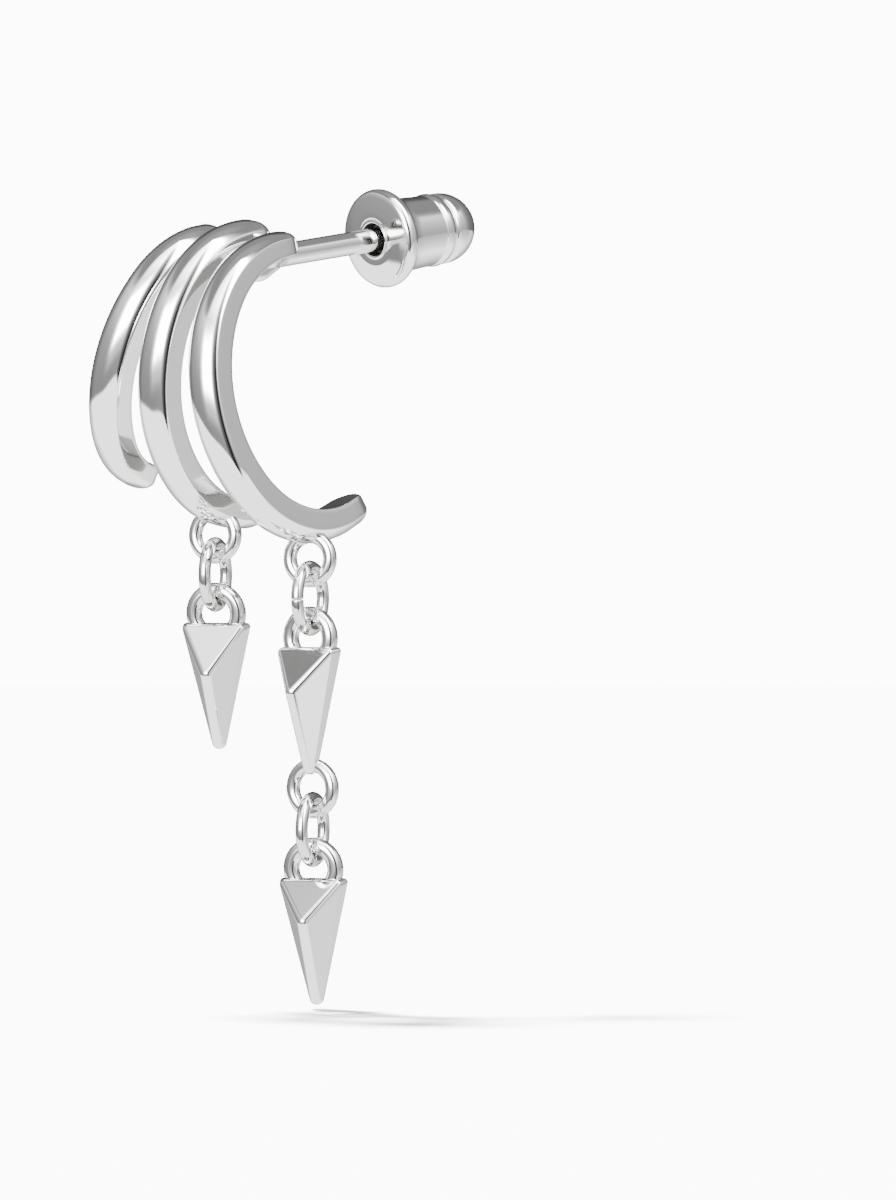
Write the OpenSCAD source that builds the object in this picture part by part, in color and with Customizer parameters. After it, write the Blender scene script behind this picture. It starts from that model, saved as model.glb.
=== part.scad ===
// Huggie earring: three half-round bands fanned from one root, a post with a
// push-on bullet back, and two strands of spikes on jump rings.
// The ear post's axis passes through the origin. +Z is up as the earring hangs,
// -Y is the front of the hoop, +X is the side with the longer strand.

/* [Stance] */
// Rise of the post towards its back end, degrees
post_pitch = 8.5; // [0:0.5:12]
// Tilt of the bands about the X axis
band_pitch = 6.5; // [0:0.5:12]

/* [Bands] */
// Width of each band
band_w = 1.6; // [1.2:0.1:1.8]
// Thickness of each band at the middle of its dome
band_t = 1.3; // [1:0.1:1.6]
// Radius of the dome across the band
dome_r = 0.93; // [0.92:0.01:1.2]
// Near band: foremost point of its inner face
near_at = [2.37, -7.92, -5.18];
// Middle band: foremost point of its inner face
middle_at = [-0.88, -7.76, -4.56];
// Far band: foremost point of its inner face
far_at = [-3.84, -7.61, -4.19];
// Near, middle and far band: lean of the band's plane about the Y axis
band_lean = [-5.4, 8.3, 20.2]; // [-30:0.1:30]
// Near, middle and far band: turn of the band's plane about the Z axis
band_turn = [3.8, 1.5, 2.8]; // [-10:0.1:10]
// Near, middle and far band: radius of the front stretch
front_r = [5.5, 5.6, 5.5]; // [4:0.1:8]
// Near, middle and far band: radius of the upper stretch
upper_r = [4.4, 3.7, 3.1]; // [2:0.1:6]
// Near, middle and far band: radius of the lower stretch
lower_r = [4.1, 4.5, 2.7]; // [2:0.1:6]
// Radius of the shallow curve across each band's ends
end_r = 1; // [0.85:0.05:2]
// Angle above the foremost point where the upper stretch starts
upper_from = [40, 40, 40]; // [20:1:60]
// Angle below the foremost point where the lower stretch starts
lower_from = [40, 40, 30]; // [20:1:60]
// Angle above the foremost point where each band's arcs end
upper_to = [91, 98, 96]; // [60:1:120]
// Angle below the foremost point where each band's arcs end
lower_to = [114.5, 88, 74]; // [60:0.5:120]

/* [Root and post] */
// Radius of the cross bar that joins the bands
bar_r = 0.5; // [0.3:0.05:0.6]
// Centre line of the cross bar: Y and Z
bar_at = [-3.3, 0.6];
// Ends of the cross bar along X
bar_span = [-2.2, 1.6];
// Thickness of the heel that carries the post
heel_t = 1.2; // [0.8:0.1:1.5]
// Radius of the heel's round lower end
heel_r = 0.95; // [0.6:0.05:1.2]
// Centre of the heel's round lower end: Y and Z
heel_at = [-3.5, -0.05];
// Radius of the heel's back end, where the post leaves it
heel_back_r = 0.3; // [0.2:0.05:0.45]
// Centre of the heel's back end: Y and Z
heel_back_at = [-2, -0.05];
// Diameter of the ear post
post_d = 0.95; // [0.7:0.05:1.1]
// End of the post along its axis
post_end = 5.2; // [4:0.1:8]

/* [Clutch] */
// Place of the clutch's front face along the post
clutch_at = 2.95; // [1:0.05:4]
// Diameter of the flange
flange_d = 4; // [3:0.1:6]
// Thickness of the flange
flange_t = 0.9; // [0.6:0.1:1.2]
// Radius of the flange's rounded rim
rim_r = 0.38; // [0.2:0.02:0.4]
// Diameters of the slightly tapered barrel at the flange and at the bead
barrel_d = [3.06, 2.86];
// Overall length of the clutch
clutch_l = 5.15; // [4.5:0.05:6]
// Diameter of the raised bead
bead_d = 2.98; // [2.9:0.01:3.2]
// Start of the bead along the clutch
bead_at = 2.88; // [2:0.02:3.2]
// Length of the bead
bead_l = 0.46; // [0.3:0.02:0.7]
// Width of the groove past the bead
groove_w = 0.12; // [0.06:0.02:0.3]
// Radius of the round cap
cap_r = 1.44; // [1.2:0.02:1.46]
// Diameter of the bore that takes the post
bore_d = 1.03; // [1:0.01:1.1]
// Depth of the bore
bore_l = 4; // [3:0.1:4.2]
// Radius of the ball that the flange's face is part of
face_r = 8; // [5:0.5:20]
// Diameter of the mouth that leads the post in
mouth_d = 1.36; // [1.2:0.02:1.8]
// Depth of the mouth
mouth_l = 0.6; // [0.2:0.05:1]

/* [Rings] */
// Radius to the wire's middle and wire radius of the fixed loops on the bands
fixed_loop = [0.875, 0.275];
// Centre of the fixed loop on the near band
near_loop_at = [2.68, -2.85, -12.4];
// Centre of the fixed loop on the middle band
middle_loop_at = [-1.8, -3.9, -11.45];
// Direction that the fixed loops face, degrees from the front
fixed_face = 22; // [0:1:45]
// Radius to the wire's middle and wire radius of the jump rings
jump_ring = [1.25, 0.25];
// Upper, lower and middle jump ring: direction square to its plane, degrees from the side
ring_face = [24, 27.5, 28.5]; // [0:0.5:45]
// Clear gap between links that hang on one another
link_gap = 0.03; // [0.02:0.01:0.06]

/* [Spikes] */
// Width across the top of a spike
spike_w = 2.85; // [2:0.05:4]
// Length from the top edge to the tip
spike_l = 5.06; // [4:0.01:7]
// Upper, lower and middle spike: drop of the front vertex below the top corners
vertex_drop = [1.66, 1.5, 1.83]; // [1:0.05:3]
// Depth from the back to the front vertex
spike_t = 1.75; // [1:0.05:2.5]
// Edge radius of a spike
spike_round = 0.16; // [0.1:0.01:0.3]
// Width of the blunt tip
tip_w = 0.6; // [0.4:0.05:1]
// Distance from the loop's plane to the spike's back
spike_back = 0.15; // [0:0.01:0.4]
// Radius to the wire's middle and wire radius of the loop on top of a spike
top_loop = [0.925, 0.325];
// Height of the loop's centre above the spike's top edge
loop_rise = 0.36; // [0.3:0.01:0.8]
// Radius to the wire's middle and wire radius of the loop at a spike's tip
tip_loop = [0.925, 0.275];
// Drop of the tip loop's centre below the tip
tip_loop_drop = 0.55; // [0.4:0.01:0.8]
// Directions that the upper, lower and middle spike face, degrees from the front
spike_face = [14, 28, 29]; // [0:1:45]
// Backward lean of the upper, lower and middle spike
spike_lean = [1.5, 6, 6]; // [0:0.5:12]

/* [Hidden] */
$fn = 32;
silver = [0.8, 0.8, 0.8];
band_at = [near_at, middle_at, far_at];
// Where two stretches of a band meet: half the angle of the joint and its swell
joint_half = 0.5;
joint_proud = 0.01;

// A link's place: each hangs in the bight of the one above
function hang(upper, lower) = lower[1] + upper[1] + link_gap;
function ring_z(loop_z) = loop_z - fixed_loop[0] + hang(fixed_loop, jump_ring) - jump_ring[0];
function spike_z(ring_z) = ring_z - jump_ring[0] + hang(jump_ring, top_loop) - top_loop[0];
function tip_z(spike_z) = spike_z - loop_rise - spike_l - tip_loop_drop;
function under_tip_z(tip_z) = tip_z - tip_loop[0] + hang(tip_loop, jump_ring) - jump_ring[0];

upper_ring_z = ring_z(near_loop_at[2]);
upper_spike_z = spike_z(upper_ring_z);
lower_ring_z = under_tip_z(tip_z(upper_spike_z));
lower_spike_z = spike_z(lower_ring_z);
middle_ring_z = ring_z(middle_loop_at[2]);
middle_spike_z = spike_z(middle_ring_z);

// The upper spike leans, so what hangs on its tip loop lies a little further back
tip_swing = (top_loop[0] + loop_rise + spike_l + tip_loop_drop) * sin(spike_lean[0]);
lower_at = near_loop_at + tip_swing * [-sin(spike_face[0]), cos(spike_face[0]), 0];

// D-shaped section of a band, its flat inner face r from the turning axis
module band_section(r, proud = 0) {
    intersection() {
        translate([r - proud, -band_w / 2 - proud])
            square([band_t + 2 * proud, band_w + 2 * proud]);
        translate([r + band_t - dome_r, 0]) circle(r = dome_r + proud);
    }
}

// One stretch of a band about its own centre, from one angle to another
module band_arc(centre, r, from, to, proud = 0) {
    translate([centre[0], centre[1], 0])
        rotate([0, 0, from])
            rotate_extrude(angle = to - from) band_section(r, proud);
}

// Rounded end of a band, pointing on along the arc (side 1) or back (side -1)
module band_end(centre, r, at, side) {
    half = band_w / 2 - joint_proud;
    back = sqrt(end_r * end_r - half * half);
    reach = end_r - back;
    translate([centre[0], centre[1], 0]) rotate([0, 0, at])
        intersection() {
            translate([0, side > 0 ? reach + 0.1 : 0, 0])
                rotate([90, 0, 0]) linear_extrude(height = reach + 0.1) band_section(r);
            translate([r - 1, -side * back, 0])
                rotate([0, 90, 0]) cylinder(r = end_r, h = band_t + 2);
        }
}

// A band in its own plane: three tangent arcs with thin collars where they meet and end
module band(i) {
    front_c = [-front_r[i], 0];
    upper_c = front_c + (front_r[i] - upper_r[i]) * [cos(upper_from[i]), sin(upper_from[i])];
    lower_c = front_c + (front_r[i] - lower_r[i]) * [cos(lower_from[i]), -sin(lower_from[i])];
    translate(band_at[i]) rotate([0, band_lean[i], band_turn[i]]) rotate([90, 0, -90]) {
        band_arc(front_c, front_r[i], -lower_from[i], upper_from[i]);
        band_arc(upper_c, upper_r[i], upper_from[i], upper_to[i]);
        band_arc(lower_c, lower_r[i], -lower_to[i], -lower_from[i]);
        for (joint = [upper_from[i], -lower_from[i]])
            band_arc(front_c, front_r[i], joint - joint_half, joint + joint_half, joint_proud);
        band_arc(upper_c, upper_r[i], upper_to[i] - 2 * joint_half, upper_to[i], joint_proud);
        band_arc(lower_c, lower_r[i], -lower_to[i], 2 * joint_half - lower_to[i], joint_proud);
        band_end(upper_c, upper_r[i], upper_to[i], 1);
        band_end(lower_c, lower_r[i], -lower_to[i], -1);
    }
}

// A round ring or loop in the XZ plane
module loop(size) {
    rotate([90, 0, 0])
        rotate_extrude() translate([size[0], 0]) circle(r = size[1]);
}

// A cylinder along X through a place in the YZ plane
module cross(at, r, from, to) {
    translate([from, at[0], at[1]]) rotate([0, 90, 0]) cylinder(r = r, h = to - from);
}

// Side of the heel: a large round, a small one behind it and the metal between their tangents
module heel_side() {
    reach = heel_back_at[0] - heel_at[0];
    lean = asin((heel_r - heel_back_r) / reach);
    translate(heel_at) circle(r = heel_r);
    translate(heel_back_at) circle(r = heel_back_r);
    polygon([
        heel_at + heel_r * [sin(lean), -cos(lean)],
        heel_back_at + heel_back_r * [sin(lean), -cos(lean)],
        heel_back_at,
        heel_back_at + heel_back_r * [sin(lean), cos(lean)],
        heel_at + heel_r * [sin(lean), cos(lean)],
        heel_at
    ]);
}

// Cross bar and heel, which join the bands at their upper ends
module root() {
    heel_from = -heel_t / 2 - 0.1;
    cross(bar_at, bar_r, bar_span[0], bar_span[1]);
    translate([heel_from, 0, 0]) rotate([90, 0, 90]) linear_extrude(height = heel_t) heel_side();
}

// Ear post, out of the heel
module post() {
    translate([0, bar_at[0], 0]) rotate([-90, 0, 0])
        cylinder(d = post_d, h = post_end - bar_at[0]);
}

module triple_hoop() {
    color(silver) union() {
        rotate([band_pitch, 0, 0]) {
            for (i = [0 : 2]) band(i);
            root();
        }
        rotate([post_pitch, 0, 0]) post();
        translate(near_loop_at) rotate([0, 0, fixed_face]) loop(fixed_loop);
        translate(middle_loop_at) rotate([0, 0, fixed_face]) loop(fixed_loop);
    }
}

// Half section of the clutch: radius across, length along
module clutch_section() {
    cap_from = bead_at + bead_l + groove_w;
    difference() {
        union() {
            intersection() {
                union() {
                    square([flange_d / 2 - rim_r, flange_t]);
                    translate([flange_d / 2 - rim_r, flange_t - rim_r]) circle(r = rim_r);
                }
                translate([0, face_r]) circle(r = face_r);
            }
            polygon([
                [0, flange_t / 2],
                [barrel_d[0] / 2, flange_t / 2],
                [barrel_d[1] / 2, bead_at + 0.1],
                [0, bead_at + 0.1]
            ]);
            translate([0, bead_at]) square([bead_d / 2, bead_l]);
            translate([0, cap_from]) square([cap_r, clutch_l - cap_r - cap_from]);
            translate([0, clutch_l - cap_r]) circle(r = cap_r);
        }
        translate([-9, -2]) square([9, 2 * face_r + 4]);
        translate([0, -1]) square([bore_d / 2, bore_l + 1]);
        translate([0, -1]) square([mouth_d / 2, mouth_l + 1]);
    }
}

module ear_clutch() {
    color(silver)
        rotate([post_pitch, 0, 0]) translate([0, clutch_at, 0]) rotate([-90, 0, 0])
            rotate_extrude() clutch_section();
}

// A jump ring edge-on to the loops, turned a quarter from the way they face
module ring_at(place, z, face) {
    color(silver)
        translate([place[0], place[1], z]) rotate([0, 0, face + 90]) loop(jump_ring);
}

// The pointed body below its loop: flat back, slanted top facet, ridge down to a blunt tip
module spike_body(i) {
    top = -loop_rise - spike_round;
    tip = spike_round - loop_rise - spike_l;
    back = spike_back - spike_round;
    blunt = tip_w / 2 - spike_round;
    hull() {
        for (s = [-1, 1]) {
            translate([s * (spike_w / 2 - spike_round), back, top]) sphere(r = spike_round);
            translate([s * blunt, back, tip + 0.1]) sphere(r = spike_round);
        }
        translate([0, spike_back - spike_t + spike_round, top - vertex_drop[i]])
            sphere(r = spike_round);
        translate([0, back - 1.5 * blunt, tip]) sphere(r = spike_round);
    }
}

// A spike hung by its top loop, leaning back about the loop's top
module spike_at(place, z, i, with_tip_loop) {
    color(silver)
        translate([place[0], place[1], z]) rotate([0, 0, spike_face[i]])
            translate([0, 0, top_loop[0]]) rotate([spike_lean[i], 0, 0])
                translate([0, 0, -top_loop[0]]) {
                    loop(top_loop);
                    spike_body(i);
                    if (with_tip_loop)
                        translate([0, 0, -loop_rise - spike_l - tip_loop_drop]) loop(tip_loop);
                }
}

module upper_jump_ring() {
    ring_at(near_loop_at, upper_ring_z, ring_face[0]);
}

module upper_spike() {
    spike_at(near_loop_at, upper_spike_z, 0, true);
}

module lower_jump_ring() {
    ring_at(lower_at, lower_ring_z, ring_face[1]);
}

module lower_spike() {
    spike_at(lower_at, lower_spike_z, 1, false);
}

module middle_jump_ring() {
    ring_at(middle_loop_at, middle_ring_z, ring_face[2]);
}

module middle_spike() {
    spike_at(middle_loop_at, middle_spike_z, 2, false);
}

triple_hoop();
ear_clutch();
upper_jump_ring();
upper_spike();
lower_jump_ring();
lower_spike();
middle_jump_ring();
middle_spike();
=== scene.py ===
from math import atan2, cos, pi, radians, sin, sqrt

import bmesh
import bpy
from mathutils import Matrix, Vector


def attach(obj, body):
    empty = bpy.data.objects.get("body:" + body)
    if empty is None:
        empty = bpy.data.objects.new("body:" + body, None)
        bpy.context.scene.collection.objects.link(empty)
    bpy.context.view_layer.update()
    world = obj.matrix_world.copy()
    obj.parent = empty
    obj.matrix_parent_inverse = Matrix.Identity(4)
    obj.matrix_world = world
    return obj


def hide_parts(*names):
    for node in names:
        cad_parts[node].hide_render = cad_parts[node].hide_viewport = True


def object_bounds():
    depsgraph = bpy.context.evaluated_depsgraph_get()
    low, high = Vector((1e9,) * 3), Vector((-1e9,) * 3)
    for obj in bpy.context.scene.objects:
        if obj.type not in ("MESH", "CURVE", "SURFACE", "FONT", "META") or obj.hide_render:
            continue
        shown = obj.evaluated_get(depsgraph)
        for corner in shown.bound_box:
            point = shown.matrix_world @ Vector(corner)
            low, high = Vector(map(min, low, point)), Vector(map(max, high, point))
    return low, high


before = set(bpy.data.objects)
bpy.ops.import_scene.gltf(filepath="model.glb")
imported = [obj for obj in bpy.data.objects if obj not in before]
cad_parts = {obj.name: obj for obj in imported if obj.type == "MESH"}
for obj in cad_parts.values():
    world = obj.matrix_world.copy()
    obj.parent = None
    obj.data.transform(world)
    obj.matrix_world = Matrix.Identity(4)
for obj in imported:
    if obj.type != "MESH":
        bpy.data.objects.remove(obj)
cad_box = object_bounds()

# ---- Studio: camera and floor.
# The earring hangs in the air in front of a plain white sweep, its lowest tip just above the
# floor. The camera looks level from the front and the side with the longer strand.
mm = 0.001
camera_turn = radians(47.2)
camera_away = 400 * mm
view_height = 48 * mm
axis_right = 5.19 * mm
axis_below = 14.04 * mm
sensor_size = 24

right = Vector((cos(camera_turn), sin(camera_turn), 0))
ahead = Vector((-sin(camera_turn), cos(camera_turn), 0))
camera_data = bpy.data.cameras.new("camera")
camera_data.sensor_fit = "VERTICAL"
camera_data.sensor_height = sensor_size
camera_data.lens = sensor_size * camera_away / view_height
camera_data.clip_start = 10 * mm
camera_data.clip_end = 20
camera = bpy.data.objects.new("camera", camera_data)
camera.location = right * axis_right - ahead * camera_away - Vector((0, 0, axis_below))
camera.rotation_euler = (pi / 2, 0, camera_turn)
bpy.context.collection.objects.link(camera)
bpy.context.scene.camera = camera

doubles_within = 0.0005 * mm


def finish_mesh(bm, name, material=None, smooth=True):
    """The bmesh as an object at the origin, with its doubles merged and its faces outwards."""
    bmesh.ops.remove_doubles(bm, verts=bm.verts, dist=doubles_within)
    bmesh.ops.recalc_face_normals(bm, faces=bm.faces)
    for face in bm.faces:
        face.smooth = smooth
    mesh = bpy.data.meshes.new(name)
    bm.to_mesh(mesh)
    bm.free()
    piece = bpy.data.objects.new(name, mesh)
    bpy.context.collection.objects.link(piece)
    if material:
        mesh.materials.append(material)
    return piece


floor_gap = 0.15 * mm
floor_radius = 1.5
floor_place = Matrix.Translation((0, 0, cad_box[0][2] - floor_gap))
floor_bm = bmesh.new()
bmesh.ops.create_circle(floor_bm, cap_ends=True, segments=64, radius=floor_radius,
                        matrix=floor_place)
paper = bpy.data.materials.new("paper")
paper.use_nodes = True
paper_shader = paper.node_tree.nodes["Principled BSDF"]
paper_shader.inputs["Base Color"].default_value = (0.9, 0.9, 0.9, 1)
paper_shader.inputs["Roughness"].default_value = 0.9
floor = finish_mesh(floor_bm, "floor", paper, smooth=False)
floor.visible_glossy = False

# ---- Studio: light.
# A low sun from behind on the left lights the paper and throws a short soft shadow, which the
# metal does not see. The metal sees a light tent: a white table below, grey walls and ceiling, a
# large soft box in front on the left and the dark gap in which the camera stands.
world = bpy.data.worlds.new("fill")
bpy.context.scene.world = world
world.use_nodes = True
world_light = world.node_tree.nodes["Background"]
world_light.inputs["Color"].default_value = (1, 1, 1, 1)
world_light.inputs["Strength"].default_value = 1.3

sun_data = bpy.data.lights.new("sun", "SUN")
sun_data.energy = 44
sun_data.angle = radians(9)
sun = bpy.data.objects.new("sun", sun_data)
sun_way = right * 0.28 - ahead * 0.5 - Vector((0, 0, 1))
sun.rotation_euler = sun_way.to_track_quat("-Z", "Y").to_euler()
sun.visible_glossy = False
bpy.context.collection.objects.link(sun)


def node(nodes, kind, **values):
    """A shader node with its properties, and its inputs by name, set from the values."""
    made = nodes.new(kind)
    for key, value in values.items():
        if key in made.inputs:
            made.inputs[key].default_value = value
        else:
            setattr(made, key, value)
    return made


def ramp(nodes, links, source, stops, interpolation="LINEAR"):
    """A grey ramp over the source through the stops, as (place, grey)."""
    made = nodes.new("ShaderNodeValToRGB")
    made.color_ramp.interpolation = interpolation
    elements = made.color_ramp.elements
    elements.remove(elements[1])
    elements[0].position, elements[0].color = stops[0][0], (stops[0][1],) * 3 + (1,)
    for place, grey in stops[1:]:
        elements.new(place).color = (grey, grey, grey, 1)
    links.new(source, made.inputs["Fac"])
    return made.outputs["Color"]


def math(nodes, links, operation, *sources):
    """The value of a Math node over sockets or numbers."""
    made = node(nodes, "ShaderNodeMath", operation=operation)
    for slot, source in zip(made.inputs, sources):
        if isinstance(source, (int, float)):
            slot.default_value = source
        else:
            links.new(source, slot)
    return made.outputs["Value"]


def blended(nodes, links, factor, under, over):
    """The mix of a socket with another, or with a number, by the factor."""
    made = node(nodes, "ShaderNodeMix", data_type="FLOAT")
    links.new(factor, made.inputs["Factor"])
    links.new(under, made.inputs["A"])
    if isinstance(over, (int, float)):
        made.inputs["B"].default_value = over
    else:
        links.new(over, made.inputs["B"])
    return made.outputs["Result"]


def around(stops):
    """Stops in degrees round the tent, 0 behind the camera and 90 on its right, as a ramp's."""
    return [((degrees + 180) / 360, grey) for degrees, grey in stops]


def upwards(stops):
    """Stops in degrees of height as a ramp's, from straight down to straight up."""
    return [((degrees + 90) / 180, grey) for degrees, grey in stops]


def glow_sphere(name, radius):
    """A sphere round the earring that only glows, seen by no light but the rays it is for."""
    bm = bmesh.new()
    bmesh.ops.create_uvsphere(bm, u_segments=96, v_segments=48, radius=radius)
    material = bpy.data.materials.new(name)
    material.use_nodes = True
    material.node_tree.nodes.clear()
    sphere = finish_mesh(bm, name, material)
    sphere.visible_diffuse = False
    sphere.visible_shadow = False
    sphere.visible_transmission = False
    sphere.visible_volume_scatter = False
    return sphere, material.node_tree.nodes, material.node_tree.links


backdrop_radius = 3
backdrop, nodes, links = glow_sphere("backdrop", backdrop_radius)
backdrop.visible_glossy = False
backdrop_glow = node(nodes, "ShaderNodeEmission", Strength=12.0)
links.new(backdrop_glow.outputs["Emission"],
          node(nodes, "ShaderNodeOutputMaterial").inputs["Surface"])

tent_radius = 1.2
tent, nodes, links = glow_sphere("tent", tent_radius)
tent.visible_camera = False
tent_turn = node(nodes, "ShaderNodeMapping", vector_type="POINT")
tent_turn.inputs["Rotation"].default_value = (0, 0, pi / 2 - camera_turn)
tent_split = node(nodes, "ShaderNodeSeparateXYZ")
links.new(node(nodes, "ShaderNodeTexCoord").outputs["Object"], tent_turn.inputs["Vector"])
links.new(tent_turn.outputs["Vector"], tent_split.inputs["Vector"])
# The bearing and the height above or below the camera's level, each from 0 to 1.
bearing = math(nodes, links, "ARCTAN2", tent_split.outputs["Y"], tent_split.outputs["X"])
bearing = math(nodes, links, "MULTIPLY_ADD", bearing, 0.5 / pi, 0.5)
height = math(nodes, links, "DIVIDE", tent_split.outputs["Z"], tent_radius)
height = math(nodes, links, "ARCSINE", height)
height = math(nodes, links, "MULTIPLY_ADD", height, 1 / pi, 0.5)

# Greys are given as they should show, and turned into light at the end.
box_grey, gap_grey, table_grey = 1.0, 0.1, 0.875

# Walls, lighter upwards from the table's edge and darker behind the earring.
table_edge = ramp(nodes, links, bearing, around([
    (-180, 0.478), (-150, 0.484), (-128, 0.456), (-98, 0.406), (-83, 0.378), (-60, 0.339),
    (-40, 0.322), (4, 0.311), (20, 0.278), (26, 0.333), (40, 0.36), (60, 0.44), (90, 0.483),
    (150, 0.489), (180, 0.478)]))
over_edge = math(nodes, links, "SUBTRACT", height, table_edge)
under_edge = math(nodes, links, "SUBTRACT", table_edge, height)
wall = ramp(nodes, links, over_edge, [
    (0, 0.56), (0.09, 0.6), (0.17, 0.65), (0.25, 0.74), (0.33, 0.8), (0.48, 0.9)])
wall_tone = ramp(nodes, links, bearing, around([
    (-180, 0.45), (-160, 0.55), (-140, 0.75), (-110, 1), (-60, 1), (24, 1.1), (30, 1.25),
    (95, 1.2), (115, 0.9), (135, 0.78), (165, 0.6), (180, 0.45)]))
shown = math(nodes, links, "MULTIPLY", wall, wall_tone)

# Soft box.
box_across = ramp(nodes, links, bearing, around([
    (-66, 0), (-58, 0.35), (-44, 1), (-6, 1), (1, 0)]), "EASE")
box_up = ramp(nodes, links, height, upwards([
    (-24, 0), (-12, 0.35), (2, 1), (27, 1), (42, 0)]), "EASE")
box_light = math(nodes, links, "MULTIPLY", box_across, box_up)
shown = blended(nodes, links, box_light, shown, box_grey)

# Camera gap.
gap_across = ramp(nodes, links, bearing, around([
    (2, 0), (6, 0.45), (12, 0.55), (14.5, 1), (18.5, 1), (21, 0.5), (25, 0)]), "EASE")
gap_up = ramp(nodes, links, height, upwards([(-46, 1), (12, 1), (30, 0.6), (55, 0.25), (75, 0)]))
gap_dark = math(nodes, links, "MULTIPLY", gap_across, gap_up)
shown = blended(nodes, links, gap_dark, shown, gap_grey)

# Ceiling, everywhere but over the soft box and the camera.
ceiling_across = ramp(nodes, links, bearing, around([
    (-180, 1), (-70, 1), (-50, 0), (60, 0), (90, 1), (180, 1)]))
ceiling_up = ramp(nodes, links, height, upwards([(38, 0), (47, 1)]))
ceiling = math(nodes, links, "MULTIPLY", ceiling_up, ceiling_across)
ceiling_tone = ramp(nodes, links, height, upwards([(44, 0.57), (60, 0.56), (74, 0.64)]))
shown = blended(nodes, links, ceiling, shown, ceiling_tone)

# Table, dimmer towards its edge on the right and at the back.
right_near = ramp(nodes, links, under_edge, [(0, 1), (0.17, 0)])
right_across = ramp(nodes, links, bearing, around([(50, 0), (65, 0.15), (115, 0.15), (130, 0)]))
right_dim = math(nodes, links, "MULTIPLY", right_near, right_across)
back_near = ramp(nodes, links, under_edge, [(0, 1), (0.12, 0.8), (0.25, 0)])
back_across = ramp(nodes, links, bearing, around([
    (-180, 0.3), (-150, 0.18), (-120, 0), (120, 0), (150, 0.18), (180, 0.3)]))
back_dim = math(nodes, links, "MULTIPLY", back_near, back_across)
table_tone = math(nodes, links, "SUBTRACT", table_grey, right_dim)
table_tone = math(nodes, links, "SUBTRACT", table_tone, back_dim)
table_light = ramp(nodes, links, over_edge, [(0, 1), (0.012, 0)])
shown = blended(nodes, links, table_light, shown, table_tone)

# Light, in shares of the brightest, that shows as each grey in a metal that gives back 0.93.
light_most = 16
given_back = 0.93
tent_light = ramp(nodes, links, shown, [
    (0.04, 0.00034), (0.08, 0.0007), (0.157, 0.00175), (0.235, 0.0034), (0.314, 0.0055),
    (0.392, 0.0082), (0.47, 0.0118), (0.549, 0.017), (0.627, 0.0256), (0.706, 0.04),
    (0.784, 0.0706), (0.824, 0.0977), (0.863, 0.141), (0.902, 0.2115), (0.941, 0.359),
    (0.98, 0.687), (1, 1)])
tent_glow = node(nodes, "ShaderNodeEmission", Strength=light_most / given_back)
links.new(tent_light, tent_glow.inputs["Color"])
links.new(tent_glow.outputs["Emission"],
          node(nodes, "ShaderNodeOutputMaterial").inputs["Surface"])

# ---- Bands.
# Three cast half-round bands of polished rhodium-plated metal, fanned from one root: flat inside
# and on their sides, domed outside, thinner towards their ends and rounded off like finger tips.
band_pitch = Matrix.Rotation(radians(6.5), 4, "X")
band_width = 1.6 * mm
band_thick = 1.3 * mm
dome_radius = 0.93 * mm
edge_soft = 0.12 * mm
inner_soft = 0.07 * mm
end_radius = 1.0 * mm
end_inset = 0.8 * mm
end_shrink = 0.6 * mm
corner_soft = 0.26 * mm
section_middle = Vector((0, 0.55 * mm))
upper_thin_run = 5 * mm
lower_thin, lower_thin_run = 0.12, 2.5 * mm
lower_soft = 0.6 * mm
band_steps = 140
BANDS = {
    # foremost point (mm), lean and turn (degrees), radii (mm), angles (degrees), share of the
    # thickness lost towards the upper end and softness of that end's outer edge (mm)
    "near_band": dict(at=(2.37, -7.92, -5.18), lean=-5.4, turn=3.8, front=5.5, upper=4.4,
                      lower=4.1, upper_from=40, lower_from=40, upper_to=91, lower_to=114.5,
                      upper_thin=0.17, top_soft=0.6),
    "middle_band": dict(at=(-0.88, -7.76, -4.56), lean=8.3, turn=1.5, front=5.6, upper=3.7,
                        lower=4.5, upper_from=40, lower_from=40, upper_to=98, lower_to=88,
                        upper_thin=0.07, top_soft=0.8),
    "far_band": dict(at=(-3.84, -7.61, -4.19), lean=20.2, turn=2.8, front=5.5, upper=3.1,
                     lower=2.7, upper_from=40, lower_from=30, upper_to=96, lower_to=74,
                     upper_thin=0.02, top_soft=0.7),
}


def polished(name, grey, rough):
    """Mirror-polished plated metal, with the faint waviness and haze of hand polishing."""
    made = bpy.data.materials.new(name)
    made.use_nodes = True
    nodes, links = made.node_tree.nodes, made.node_tree.links
    shader = nodes["Principled BSDF"]
    shader.inputs["Metallic"].default_value = 1
    place = node(nodes, "ShaderNodeTexCoord")
    haze = node(nodes, "ShaderNodeTexNoise", Scale=900, Detail=3, Roughness=0.6)
    spread = node(nodes, "ShaderNodeMapRange")
    spread.inputs["To Min"].default_value = rough * 0.6
    spread.inputs["To Max"].default_value = rough * 1.4
    blend = node(nodes, "ShaderNodeMix", data_type="RGBA")
    blend.inputs["A"].default_value = (grey * 0.97, grey * 0.965, grey * 0.955, 1)
    blend.inputs["B"].default_value = (grey, grey, grey * 0.995, 1)
    waves = node(nodes, "ShaderNodeTexNoise", Scale=500, Detail=1, Roughness=0.4)
    bump = node(nodes, "ShaderNodeBump", Strength=0.05, Distance=0.02 * mm)
    links.new(place.outputs["Object"], haze.inputs["Vector"])
    links.new(place.outputs["Object"], waves.inputs["Vector"])
    links.new(haze.outputs["Fac"], spread.inputs["Value"])
    links.new(haze.outputs["Fac"], blend.inputs["Factor"])
    links.new(blend.outputs["Result"], shader.inputs["Base Color"])
    links.new(spread.outputs["Result"], shader.inputs["Roughness"])
    links.new(waves.outputs["Fac"], bump.inputs["Height"])
    links.new(bump.outputs["Normal"], shader.inputs["Normal"])
    return made


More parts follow.
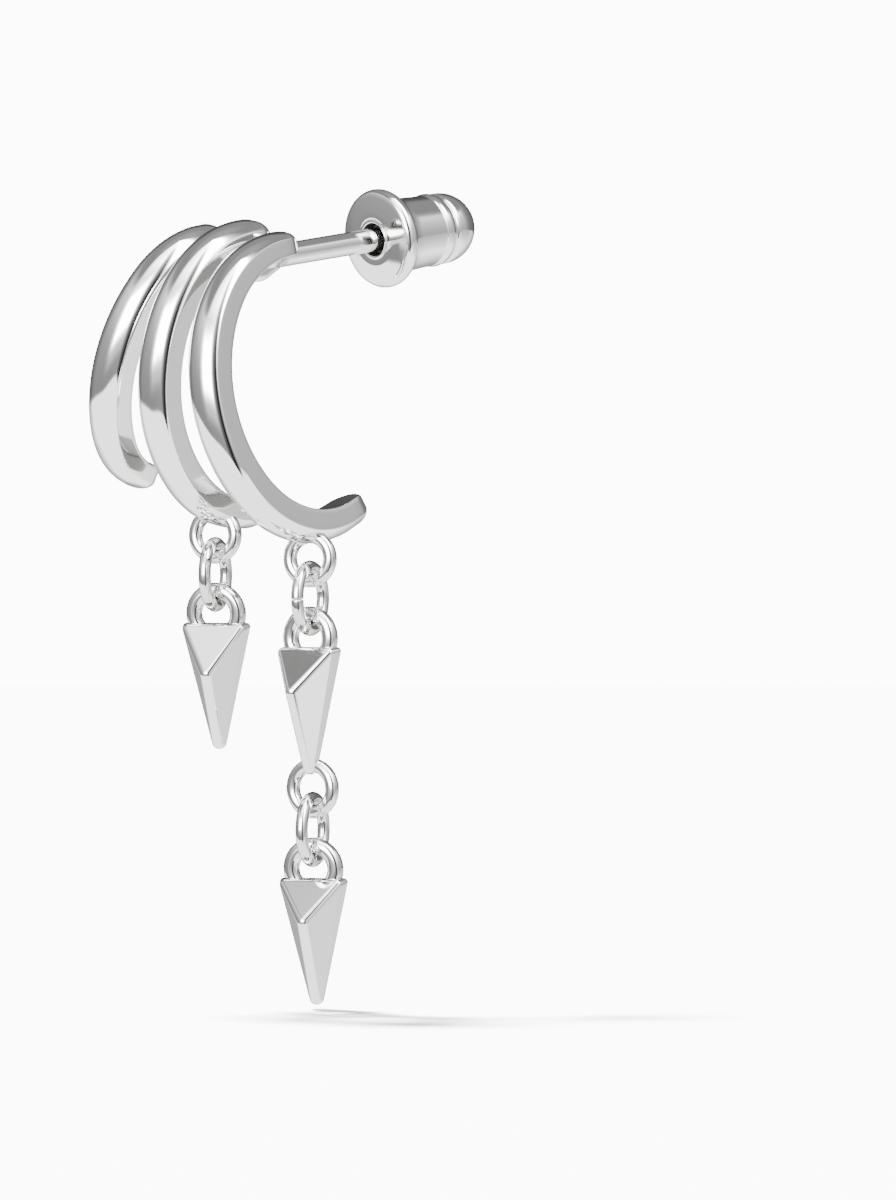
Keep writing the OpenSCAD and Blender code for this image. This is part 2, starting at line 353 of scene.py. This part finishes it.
def half_section():
    """Half of a band's section from the top of its dome to the middle of its flat inside,
    as (distance from the middle, height)."""
    half = band_width / 2
    dome_at = band_thick - dome_radius
    soft_across = half - edge_soft
    soft_up = sqrt((dome_radius - edge_soft) ** 2 - soft_across ** 2)
    turn = atan2(soft_across, soft_up)
    points = [(dome_radius * sin(turn * i / 10), dome_at + dome_radius * cos(turn * i / 10))
              for i in range(11)]
    points += [(soft_across + edge_soft * sin(turn + (pi / 2 - turn) * i / 4),
                dome_at + soft_up + edge_soft * cos(turn + (pi / 2 - turn) * i / 4))
               for i in range(1, 5)]
    points += [(half, (dome_at + soft_up) * i / 4) for i in (3, 2, 1)]
    points += [(half - inner_soft + inner_soft * cos(pi / 2 * i / 3),
                inner_soft - inner_soft * sin(pi / 2 * i / 3)) for i in range(4)]
    points += [((half - inner_soft) * i / 4, 0) for i in (3, 2, 1, 0)]
    return points


def along_band(band, s):
    """Depth, height and outward direction on the inside of the band, s on from its upper end."""
    up, low = radians(band["upper_to"]), radians(band["lower_to"])
    joint_up, joint_low = radians(band["upper_from"]), radians(band["lower_from"])
    front, upper, lower = (band[k] * mm for k in ("front", "upper", "lower"))
    upper_run = upper * (up - joint_up)
    front_run = front * (joint_up + joint_low)
    lower_run = lower * (low - joint_low)
    on = min(max(s, 0), upper_run + front_run + lower_run)
    if on < upper_run:
        angle = up - on / upper
    elif on < upper_run + front_run:
        angle = joint_up - (on - upper_run) / front
    else:
        angle = -joint_low - (on - upper_run - front_run) / lower
    if angle > joint_up:
        depth = front - (front - upper) * cos(joint_up) - upper * cos(angle)
        height = (front - upper) * sin(joint_up) + upper * sin(angle)
    elif angle > -joint_low:
        depth = front - front * cos(angle)
        height = front * sin(angle)
    else:
        depth = front - (front - lower) * cos(joint_low) - lower * cos(angle)
        height = -(front - lower) * sin(joint_low) + lower * sin(angle)
    past = s - on
    depth -= past * sin(angle)
    height -= past * cos(angle)
    return depth, height, angle


def end_reach(across, up, top_soft):
    """How far the rounded end stands past its side corners, at a place on the section."""
    reach = sqrt(end_radius ** 2 - across ** 2) - sqrt(end_radius ** 2 - (band_width / 2) ** 2)
    over = min(max(0, up - (band_thick - top_soft)), top_soft)
    under = min(max(0, inner_soft - up), inner_soft)
    return (reach - (top_soft - sqrt(top_soft ** 2 - over ** 2))
            - (inner_soft - sqrt(inner_soft ** 2 - under ** 2)))


def round_end(bm, edges, base, way, top_soft):
    """Carries a band's open end on to a rounded tip, way +1 or -1 along the bar, and closes it."""
    rings = [(1 - corner_soft * (1 - cos(pi / 2 * i / 5)) / end_shrink,
              corner_soft * (1 - sin(pi / 2 * i / 5))) for i in range(6)]
    rings += [(share, 0) for share in (0.45, 0.3, 0.15)]
    before = 1
    for share, back in rings:
        made = bmesh.ops.extrude_edge_only(bm, edges=edges)["geom"]
        verts = [part for part in made if isinstance(part, bmesh.types.BMVert)]
        edges = [part for part in made if isinstance(part, bmesh.types.BMEdge)
                 and all(vert in verts for vert in part.verts)]
        for vert in verts:
            place = section_middle + (Vector((vert.co.x, vert.co.z)) - section_middle) / before
            shrunk = section_middle + (place - section_middle) * share
            on = base + way * (end_reach(*shrunk, top_soft) - back)
            vert.co = (shrunk.x, on, shrunk.y)
        before = share
    tip = base + way * end_reach(*section_middle, top_soft)
    bmesh.ops.pointmerge(bm, verts=verts, merge_co=(section_middle.x, tip, section_middle.y))


def make_band(band):
    """A straight bar with rounded ends, bent along the band's three arcs and thinned."""
    length = sum((band["upper"] * radians(band["upper_to"] - band["upper_from"]),
                  band["front"] * radians(band["upper_from"] + band["lower_from"]),
                  band["lower"] * radians(band["lower_to"] - band["lower_from"]))) * mm
    half = half_section()
    bm = bmesh.new()
    chain = [bm.verts.new((across, end_inset, up)) for across, up in half]
    chain += [bm.verts.new((-across, end_inset, up)) for across, up in half[-2:0:-1]]
    first = [bm.edges.new(pair) for pair in zip(chain, chain[1:] + chain[:1])]
    made = bmesh.ops.spin(bm, geom=first, cent=(0, 0, 0), axis=(0, 0, 1), angle=0,
                          steps=band_steps, dvec=(0, (length - 2 * end_inset) / band_steps, 0))
    last = [part for part in made["geom_last"] if isinstance(part, bmesh.types.BMEdge)]
    round_end(bm, first, 0, -1, band["top_soft"] * mm)
    round_end(bm, last, length, 1, lower_soft)
    lean = Matrix.Rotation(radians(band["lean"]), 4, "Y")
    turned = Matrix.Rotation(radians(band["turn"]), 4, "Z")
    place = band_pitch @ Matrix.Translation(Vector(band["at"]) * mm) @ turned @ lean
    for vert in bm.verts:
        s = vert.co.y
        depth, height, angle = along_band(band, s)
        near_top = min(max(0, 1 - s / upper_thin_run), 1)
        near_low = min(max(0, 1 - (length - s) / lower_thin_run), 1)
        out = vert.co.z * (1 - band["upper_thin"] * near_top - lower_thin * near_low)
        vert.co = place @ Vector((vert.co.x, depth - out * cos(angle), height + out * sin(angle)))
    return bm


band_metal = polished("band_metal", 0.9, 0.07)
for band_name, band in BANDS.items():
    piece = finish_mesh(make_band(band), band_name, band_metal)
    piece.modifiers.new("even_shading", "WEIGHTED_NORMAL").weight = 60
    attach(piece, "hoop")
    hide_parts("triple_hoop")

# ---- Root: cross bar and heel.
# A short round bar ties the three bands together at the back of the hoop, and a smooth rounded
# heel under the middle band tapers back into the post. Cast with the bands and polished.
bar_at = (-3.3 * mm, 0.5 * mm)
bar_radius = 0.4 * mm
bar_from, bar_to = -2.2 * mm, 1.6 * mm
bar_soft = 0.1 * mm
heel_thick = 1.2 * mm
heel_middle = -0.1 * mm
heel_soft = 0.28 * mm
flat_within = radians(0.3)
HEEL_ROUNDS = (((-3.5 * mm, -0.05 * mm), 0.95 * mm), ((-2.0 * mm, -0.05 * mm), 0.3 * mm))


def cross_matrix(x, y, z):
    """A cylinder's axis along X through the place, tilted with the bands."""
    return band_pitch @ Matrix.Translation((x, y, z)) @ Matrix.Rotation(pi / 2, 4, "Y")


def rims(bm):
    """The edges round the bmesh's flat ends, which are its only faces with many sides."""
    return [edge for edge in bm.edges if any(len(face.verts) > 4 for face in edge.link_faces)]


def wrap(bm):
    """The convex hull of all that the bmesh holds, in its place."""
    bmesh.ops.delete(bm, geom=bm.edges[:] + bm.faces[:], context="EDGES_FACES")
    hull = bmesh.ops.convex_hull(bm, input=bm.verts[:], use_existing_faces=False)
    spare = [part for part in hull["geom_interior"] + hull["geom_unused"]
             if isinstance(part, bmesh.types.BMVert)]
    bmesh.ops.delete(bm, geom=list(set(spare)), context="VERTS")


root_metal = polished("root_metal", 0.88, 0.08)
bar_bm = bmesh.new()
bmesh.ops.create_cone(bar_bm, cap_ends=True, segments=48, radius1=bar_radius, radius2=bar_radius,
                      depth=bar_to - bar_from,
                      matrix=cross_matrix((bar_from + bar_to) / 2, *bar_at))
bar_rims = rims(bar_bm)
bmesh.ops.bevel(bar_bm, geom=bar_rims, offset=bar_soft, segments=4, profile=0.5,
                affect="EDGES", material=-1)
bar = finish_mesh(bar_bm, "cross_bar", root_metal)
bar.modifiers.new("even_shading", "WEIGHTED_NORMAL").weight = 60

heel_bm = bmesh.new()
for heel_at, heel_radius in HEEL_ROUNDS:
    bmesh.ops.create_cone(heel_bm, cap_ends=True, segments=96, radius1=heel_radius,
                          radius2=heel_radius, depth=heel_thick,
                          matrix=cross_matrix(heel_middle, *heel_at))
wrap(heel_bm)
bmesh.ops.dissolve_limit(heel_bm, angle_limit=flat_within, verts=heel_bm.verts[:],
                         edges=heel_bm.edges[:])
heel_rims = rims(heel_bm)
bmesh.ops.bevel(heel_bm, geom=heel_rims, offset=heel_soft, segments=8, profile=0.5,
                affect="EDGES", material=-1)
heel = finish_mesh(heel_bm, "heel", root_metal)
heel.modifiers.new("even_shading", "WEIGHTED_NORMAL").weight = 60

# ---- Post.
# A drawn wire post soldered into the heel, with a soft fillet at its foot and a rounded tip
# that goes through the ear lobe into the clutch.
post_radius = 0.475 * mm
post_from, post_to = -3.3 * mm, 5.2 * mm
foot_at = -2.6 * mm
foot_flare = 0.16 * mm
point_soft = 0.2 * mm
post_tilt = 8.5


def lathe(name, profile, matrix, material, segments=96):
    """A (radius, place along) profile turned about the Z axis, then put in its place."""
    bm = bmesh.new()
    chain = [bm.verts.new((radius, 0, along)) for radius, along in profile]
    edges = [bm.edges.new(pair) for pair in zip(chain, chain[1:])]
    bmesh.ops.spin(bm, geom=chain + edges, cent=(0, 0, 0), axis=(0, 0, 1), dvec=(0, 0, 0),
                   angle=2 * pi, steps=segments, use_merge=True)
    bmesh.ops.transform(bm, verts=bm.verts, matrix=matrix)
    return finish_mesh(bm, name, material)


along_post = Matrix.Rotation(radians(post_tilt - 90), 4, "X")
post_profile = [(0, post_from), (post_radius + foot_flare, post_from)]
post_profile += [(post_radius + foot_flare * (1 - sin(pi / 2 * i / 6)),
                  foot_at + 2 * foot_flare * (1 - cos(pi / 2 * i / 6))) for i in range(7)]
post_profile += [(post_radius, foot_at + (post_to - foot_at) * share) for share in (0.3, 0.6, 0.9)]
post_profile += [(post_radius - point_soft * (1 - cos(pi / 2 * i / 6)),
                  post_to - point_soft * (1 - sin(pi / 2 * i / 6))) for i in range(7)]
post_profile += [(0, post_to)]
post_metal = polished("post_metal", 0.86, 0.1)
post = lathe("post", post_profile, along_post, post_metal, segments=64)

for piece in (bar, heel, post):
    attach(piece, "hoop")
    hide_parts("triple_hoop")

# ---- Clutch.
# A bullet-shaped push-on back turned from one rod: a crowned flange with a thin rounded rim and a
# lipped mouth for the post, a barrel that tapers a little to a bead and a fine groove, and a
# ball-shaped cap. Its bore is left dull from drilling and is painted dark as shade inside the hole.
clutch_from = 2.95 * mm
flange_radius, flange_thick, rim_radius, crown_radius = 2.0 * mm, 0.9 * mm, 0.38 * mm, 8 * mm
barrel_from_radius, barrel_to_radius = 1.53 * mm, 1.43 * mm
bead_radius, bead_from, bead_to = 1.49 * mm, 2.88 * mm, 3.34 * mm
groove_radius, groove_to = 1.38 * mm, 3.46 * mm
cap_radius, clutch_long = 1.44 * mm, 5.15 * mm
bore_radius, bore_deep = 0.515 * mm, 4 * mm
mouth_radius, mouth_deep, lip_radius = 0.67 * mm, 0.6 * mm, 0.8 * mm
fine = 0.03 * mm


def crown(radius):
    """How far back the flange's crowned face lies at this radius."""
    return crown_radius - sqrt(crown_radius ** 2 - radius ** 2)


def arc_points(centre, radius, start, end, count):
    """Points on a circle of the lathe profile, from one angle to another in degrees."""
    turns = [radians(start + (end - start) * i / count) for i in range(count + 1)]
    return [(centre[0] + radius * cos(t), centre[1] + radius * sin(t)) for t in turns]


rim_centre = (flange_radius - rim_radius, flange_thick - rim_radius)
# Bore, mouth and lip, then the crowned face and the rim.
clutch_profile = [
    (0, bore_deep), (bore_radius, bore_deep), (bore_radius, mouth_deep + fine),
    (bore_radius + fine, mouth_deep), (mouth_radius - fine, mouth_deep),
    (mouth_radius, mouth_deep - fine), (mouth_radius, crown(mouth_radius) + fine),
    (mouth_radius + fine, crown(mouth_radius)), (lip_radius - fine, crown(lip_radius) + 0.3 * fine),
    (lip_radius, crown(lip_radius) + 1.2 * fine), (lip_radius + fine, crown(lip_radius) + fine)]
clutch_profile += [(radius * mm, crown(radius * mm)) for radius in (0.9, 1.1, 1.3, 1.5, 1.7, 1.84)]
clutch_profile += arc_points(rim_centre, rim_radius, -46, 90, 20)
# Barrel.
clutch_profile += [
    (barrel_from_radius + 2 * fine, flange_thick),
    (barrel_from_radius + 0.6 * fine, flange_thick + 0.4 * fine),
    (barrel_from_radius, flange_thick + 1.6 * fine)]
clutch_profile += [(barrel_from_radius + (barrel_to_radius - barrel_from_radius) * share,
                    flange_thick + (bead_from - flange_thick) * share)
                   for share in (0.3, 0.6, 0.95)]
clutch_profile += [
    (barrel_to_radius, bead_from - 0.4 * fine), (barrel_to_radius + 0.6 * fine, bead_from)]
# Bead, groove and cap.
clutch_profile += [(bead_radius - 2 * fine * (1 - sin(pi * i / 10)),
                    bead_from + (bead_to - bead_from) * (i / 10)) for i in range(1, 10)]
clutch_profile += [
    (bead_radius - 2 * fine, bead_to), (groove_radius + 0.5 * fine, bead_to + 0.3 * fine),
    (groove_radius, bead_to + fine), (groove_radius, groove_to - fine),
    (groove_radius + 0.5 * fine, groove_to - 0.3 * fine), (cap_radius - fine, groove_to),
    (cap_radius, groove_to + fine)]
clutch_profile += arc_points((0, clutch_long - cap_radius), cap_radius, 0, 89, 30)
clutch_profile += [(0, clutch_long)]

clutch_metal = polished("clutch_metal", 0.86, 0.07)
clutch_place = along_post @ Matrix.Translation((0, 0, clutch_from))
clutch = lathe("clutch", clutch_profile, clutch_place, clutch_metal)

nodes, links = clutch_metal.node_tree.nodes, clutch_metal.node_tree.links
bore_turn = node(nodes, "ShaderNodeMapping", vector_type="TEXTURE")
bore_turn.inputs["Location"].default_value = clutch_place.to_translation()
bore_turn.inputs["Rotation"].default_value = clutch_place.to_euler()
bore_split = node(nodes, "ShaderNodeSeparateXYZ")
links.new(node(nodes, "ShaderNodeTexCoord").outputs["Object"], bore_turn.inputs["Vector"])
links.new(bore_turn.outputs["Vector"], bore_split.inputs["Vector"])
across_x, across_y, along = (bore_split.outputs[axis] for axis in "XYZ")
from_axis = math(nodes, links, "SQRT", math(
    nodes, links, "ADD", math(nodes, links, "MULTIPLY", across_x, across_x),
    math(nodes, links, "MULTIPLY", across_y, across_y)))
in_bore = math(nodes, links, "MULTIPLY",
               math(nodes, links, "LESS_THAN", from_axis, mouth_radius + 0.2 * fine),
               math(nodes, links, "LESS_THAN", along, bore_deep + fine))
clutch_shader = nodes["Principled BSDF"]
# Inside the bore: a rougher, dull finish from drilling, and a dark base colour that is painted
# shade.
for slot, bore_dull_and_shade in (("Base Color", (0.1, 0.1, 0.1, 1)), ("Roughness", (0.45, 0.45, 0.45, 1))):
    turned_or_dull_shaded_bore = node(nodes, "ShaderNodeMix", data_type="RGBA")
    turned = clutch_shader.inputs[slot].links[0].from_socket
    links.new(turned, turned_or_dull_shaded_bore.inputs["A"])
    turned_or_dull_shaded_bore.inputs["B"].default_value = bore_dull_and_shade
    links.new(in_bore, turned_or_dull_shaded_bore.inputs["Factor"])
    links.new(turned_or_dull_shaded_bore.outputs["Result"], clutch_shader.inputs[slot])

clutch.modifiers.new("even_shading", "WEIGHTED_NORMAL").weight = 60
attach(clutch, "clutch")
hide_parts("ear_clutch")

# ---- Fixed loops.
# Round wire loops soldered under the lower ends of the near and middle bands, which carry the
# two strands.
near_hang = Vector((2.68, -2.85, -12.4)) * mm
middle_hang = Vector((-1.8, -3.9, -11.45)) * mm
fixed_loop = (0.875 * mm, 0.275 * mm)
fixed_face = radians(22)
cut_soft = 0.04 * mm


def wire_ring(name, size, matrix, material, cut=0.0):
    """A round wire ring in the XZ plane, closed, or with a thin cut of the given angle."""
    radius, wire = size
    bm = bmesh.new()
    circle = bmesh.ops.create_circle(bm, segments=28, radius=wire,
                                     matrix=Matrix.Translation((radius, 0, 0)))
    geom = circle["verts"] + bm.edges[:]
    bmesh.ops.spin(bm, geom=geom, cent=(0, 0, 0), axis=(0, 1, 0), dvec=(0, 0, 0),
                   angle=2 * pi - cut, steps=96, use_merge=cut == 0)
    if cut:
        bmesh.ops.holes_fill(bm, edges=[edge for edge in bm.edges if edge.is_boundary], sides=0)
        bmesh.ops.bevel(bm, geom=rims(bm), offset=cut_soft, segments=2, profile=0.5,
                        affect="EDGES", material=-1)
    bmesh.ops.transform(bm, verts=bm.verts, matrix=matrix)
    return finish_mesh(bm, name, material)


loop_metal = polished("loop_metal", 0.78, 0.06)
for name, hang_at in (("near_loop", near_hang), ("middle_loop", middle_hang)):
    loop = wire_ring(name, fixed_loop,
                     Matrix.Translation(hang_at) @ Matrix.Rotation(fixed_face, 4, "Z"), loop_metal)
    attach(loop, "hoop")
    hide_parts("triple_hoop")

# ---- Jump rings.
# Bent round wire, cut and closed by hand so that a thin seam shows, one under each fixed loop
# and one under the upper spike, each turned a quarter from the loops it joins.
jump_ring = (1.25 * mm, 0.25 * mm)
ring_cut = 0.012
top_loop = (0.925 * mm, 0.325 * mm)
tip_loop = (0.925 * mm, 0.275 * mm)
link_gap = 0.03 * mm
loop_rise, spike_long, tip_loop_drop = 0.36 * mm, 5.06 * mm, 0.55 * mm


def hung_under(upper, upper_z, lower):
    """Height of the centre of a ring that hangs in the bight of the one above."""
    return upper_z - upper[0] + lower[1] + upper[1] + link_gap - lower[0]


upper_ring_z = hung_under(fixed_loop, near_hang.z, jump_ring)
upper_spike_z = hung_under(jump_ring, upper_ring_z, top_loop)
tip_loop_z = upper_spike_z - loop_rise - spike_long - tip_loop_drop
lower_ring_z = hung_under(tip_loop, tip_loop_z, jump_ring)
lower_spike_z = hung_under(jump_ring, lower_ring_z, top_loop)
middle_ring_z = hung_under(fixed_loop, middle_hang.z, jump_ring)
middle_spike_z = hung_under(jump_ring, middle_ring_z, top_loop)
upper_face, upper_lean = radians(14), radians(1.5)
tip_swings = (top_loop[0] + loop_rise + spike_long + tip_loop_drop) * sin(upper_lean)
lower_hang = near_hang + Vector((-sin(upper_face), cos(upper_face), 0)) * tip_swings

ring_metal = polished("ring_metal", 0.78, 0.06)
for name, hang_at, height, face, seam, body in (
        ("upper_ring", near_hang, upper_ring_z, 24, 178, "long_strand"),
        ("lower_ring", lower_hang, lower_ring_z, 27.5, 100, "long_strand"),
        ("middle_ring", middle_hang, middle_ring_z, 28.5, 80, "short_strand")):
    place = (Matrix.Translation((hang_at.x, hang_at.y, height))
             @ Matrix.Rotation(radians(face + 90), 4, "Z")
             @ Matrix.Rotation(radians(seam), 4, "Y"))
    ring = wire_ring(name, jump_ring, place, ring_metal, cut=ring_cut)
    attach(ring, body)
    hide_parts({"upper_ring": "upper_jump_ring", "lower_ring": "lower_jump_ring",
                       "middle_ring": "middle_jump_ring"}[name])

# ---- Spikes.
# Cast spikes with a flat back, narrow side walls, a slanted triangular facet on top and a ridge
# down to the tip, all softened by polishing. Each hangs by a loop on its top edge, and the
# upper one carries another at its tip.
spike_wide, spike_deep = 2.85 * mm, 1.75 * mm
spike_soft, spike_back = 0.16 * mm, 0.15 * mm
side_thick, side_soft, side_inset = 0.3 * mm, 0.24 * mm, 0.1 * mm
vertex_soft, tip_soft = 0.3 * mm, 0.3 * mm


def spike_body(name, vertex_drop, matrix, material):
    """The convex hull of six balls, one at each corner of the spike."""
    side = spike_wide / 2 - spike_soft
    corner_y = spike_back - spike_soft
    corner_z = -loop_rise - spike_soft
    front_side = spike_wide / 2 - side_soft - side_inset
    front_y = corner_y - side_thick
    front_z = -loop_rise - side_soft
    bm = bmesh.new()
    for corner, radius in (
            ((-side, corner_y, corner_z), spike_soft),
            ((side, corner_y, corner_z), spike_soft),
            ((-front_side, front_y, front_z), side_soft),
            ((front_side, front_y, front_z), side_soft),
            ((0, spike_back - spike_deep + vertex_soft, corner_z - vertex_drop), vertex_soft),
            ((0, spike_back - tip_soft, tip_soft - loop_rise - spike_long), tip_soft)):
        bmesh.ops.create_uvsphere(bm, u_segments=64, v_segments=32, radius=radius,
                                  matrix=Matrix.Translation(corner))
    wrap(bm)
    bmesh.ops.dissolve_limit(bm, angle_limit=flat_within, verts=bm.verts[:], edges=bm.edges[:])
    bmesh.ops.transform(bm, verts=bm.verts, matrix=matrix)
    piece = finish_mesh(bm, name, material)
    piece.modifiers.new("even_shading", "WEIGHTED_NORMAL").weight = 80
    return piece


spike_metal = polished("spike_metal", 0.86, 0.08)
lower_lean = radians(6)
for name, hang_at, height, face, lean, vertex_drop, body in (
        ("upper_spike", near_hang, upper_spike_z, upper_face, upper_lean, 1.58 * mm,
         "long_strand"),
        ("lower_spike", lower_hang, lower_spike_z, radians(28), lower_lean, 1.42 * mm,
         "long_strand"),
        ("middle_spike", middle_hang, middle_spike_z, radians(29), lower_lean, 1.75 * mm,
         "short_strand")):
    swing = (Matrix.Translation((hang_at.x, hang_at.y, height)) @ Matrix.Rotation(face, 4, "Z")
             @ Matrix.Translation((0, 0, top_loop[0])) @ Matrix.Rotation(lean, 4, "X")
             @ Matrix.Translation((0, 0, -top_loop[0])))
    pieces = [spike_body(name + "_body", vertex_drop, swing, spike_metal),
              wire_ring(name + "_loop", top_loop, swing, loop_metal)]
    if name == "upper_spike":
        tip_swing = swing @ Matrix.Translation((0, 0, -loop_rise - spike_long - tip_loop_drop))
        pieces.append(wire_ring(name + "_tip_loop", tip_loop, tip_swing, loop_metal))
    for piece in pieces:
        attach(piece, body)
        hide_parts(name)
